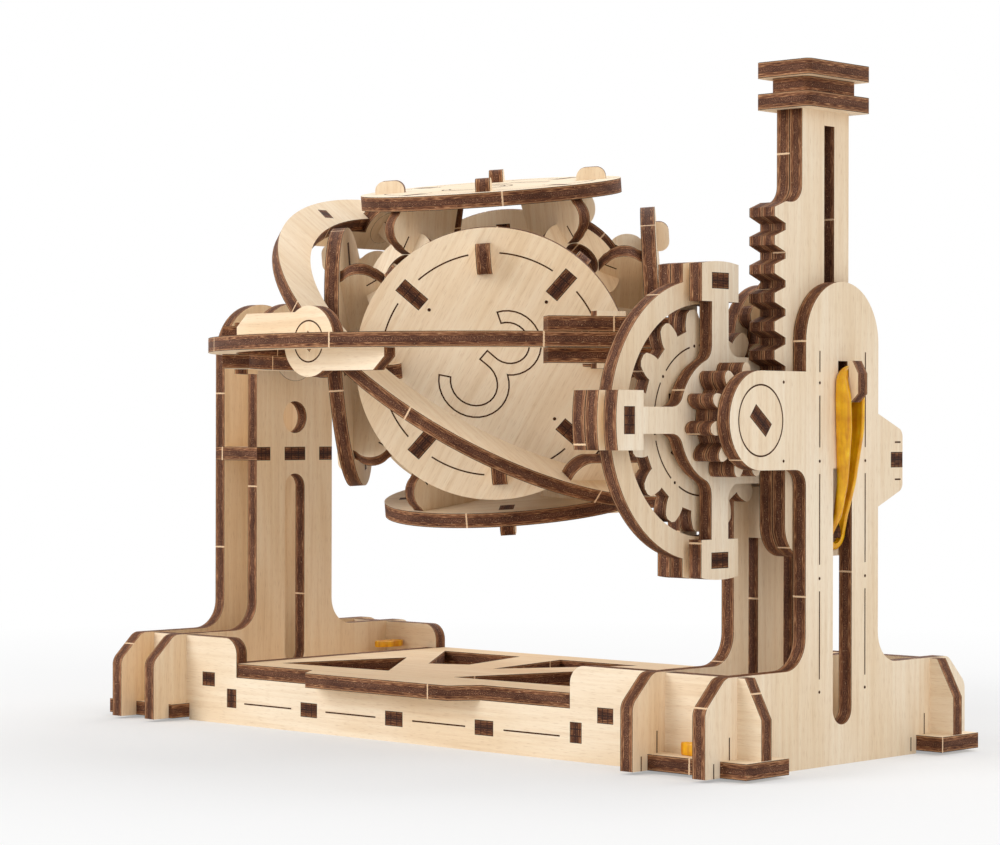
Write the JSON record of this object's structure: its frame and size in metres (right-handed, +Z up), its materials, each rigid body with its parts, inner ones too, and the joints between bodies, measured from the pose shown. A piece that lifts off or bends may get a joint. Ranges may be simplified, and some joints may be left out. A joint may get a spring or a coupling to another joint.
{
  "type": "wooden mechanical puzzle",
  "caption": "Laser-cut plywood gimbal puzzle: pressing a sprung rack handle turns gears that spin a six-faced ball hung in two rings between two towers on a slatted base.",
  "frame": {"origin": "centre of the whole part's plan on the table surface it stands on", "axes": "+X towards the tower with the press handle, -Y the front with the gear housing, +Z up"},
  "size_m": [0.1774, 0.123, 0.1328],
  "materials": {
    "plywood": "bare birch plywood, laser-burnt edges",
    "rubber": "amber rubber band"
  },
  "bodies": {
    "frame": {"front_board": "plywood", "back_board": "plywood", "outer_plate_right": "plywood", "inner_plate_right": "plywood", "inner_plate_left": "plywood", "outer_plate_left": "plywood", "corner_feet": "plywood", "deck": "plywood", "floor_plate": "plywood", "cross_plates": "plywood", "shelf_plates": "plywood", "bridge_left": "plywood", "bridge_right": "plywood", "rack_guides": "plywood", "guard_ring": "plywood", "housing_spider": "plywood", "housing_pegs": "plywood", "band_anchor": "plywood", "rubber_band": "rubber"},
    "handle": {"rack_inner": "plywood", "rack_outer": "plywood", "cap_lower": "plywood", "cap_middle": "plywood", "cap_upper": "plywood", "band_hook": "plywood"},
    "pinion": {"pinion_inner": "plywood", "pinion_outer": "plywood", "pinion_shaft": "plywood", "shaft_bearings": "plywood", "ratchet_hub": "plywood"},
    "drive_gear": {"drive_gear": "plywood"},
    "outer_gimbal": {"outer_ring": "plywood", "ring_arcs_left": "plywood", "ring_arcs_right": "plywood", "ring_clips": "plywood", "gimbal_bearings": "plywood", "gimbal_spacer": "plywood", "gimbal_pinion": "plywood", "cheek_front": "plywood", "cheek_back": "plywood"},
    "inner_gimbal": {"inner_ring": "plywood", "inner_arches": "plywood", "pivot_bearings": "plywood"},
    "ball": {"disc_front": "plywood", "disc_back": "plywood", "disc_top": "plywood", "disc_bottom": "plywood", "disc_right": "plywood", "disc_left": "plywood", "edge_pegs": "plywood", "corner_fins": "plywood", "corner_plates": "plywood", "ball_axle": "plywood", "axle_bearings": "plywood"}
  },
  "joints": [
    {"name": "handle_press", "type": "slide", "parent": "frame", "child": "handle", "axis": [0, 0, -1], "range_m": [0, 0.032], "stiffness_N_per_m": 60, "springref_m": -0.012, "deforming": ["rubber_band"]},
    {"name": "pinion_spin", "type": "hinge", "parent": "frame", "child": "pinion", "pos_m": [0.0765, -0.0252, 0.065], "axis": [-1, 0, 0], "range_deg": [0, 225]},
    {"name": "gimbal_spin", "type": "hinge", "parent": "frame", "child": "outer_gimbal", "pos_m": [-0.00525, 0, 0.0804], "axis": [1, 0, 0], "continuous": true},
    {"name": "drive_gear_spin", "type": "hinge", "parent": "frame", "child": "drive_gear", "pos_m": [0.0675, -0.0252, 0.065], "axis": [1, 0, 0], "continuous": true},
    {"name": "inner_ring_swing", "type": "hinge", "parent": "outer_gimbal", "child": "inner_gimbal", "pos_m": [-0.00525, 0, 0.0804], "axis": [0, 1, 0], "continuous": true},
    {"name": "ball_spin", "type": "hinge", "parent": "inner_gimbal", "child": "ball", "pos_m": [-0.00525, 0, 0.0804], "axis": [-0.7944, 0, 0.6074], "continuous": true}
  ],
  "couplings": [
    {"joint": "pinion_spin", "follows": "handle_press", "rad_per_m": 106.95},
    {"joint": "drive_gear_spin", "follows": "gimbal_spin", "ratio": -0.53333}
  ]
}
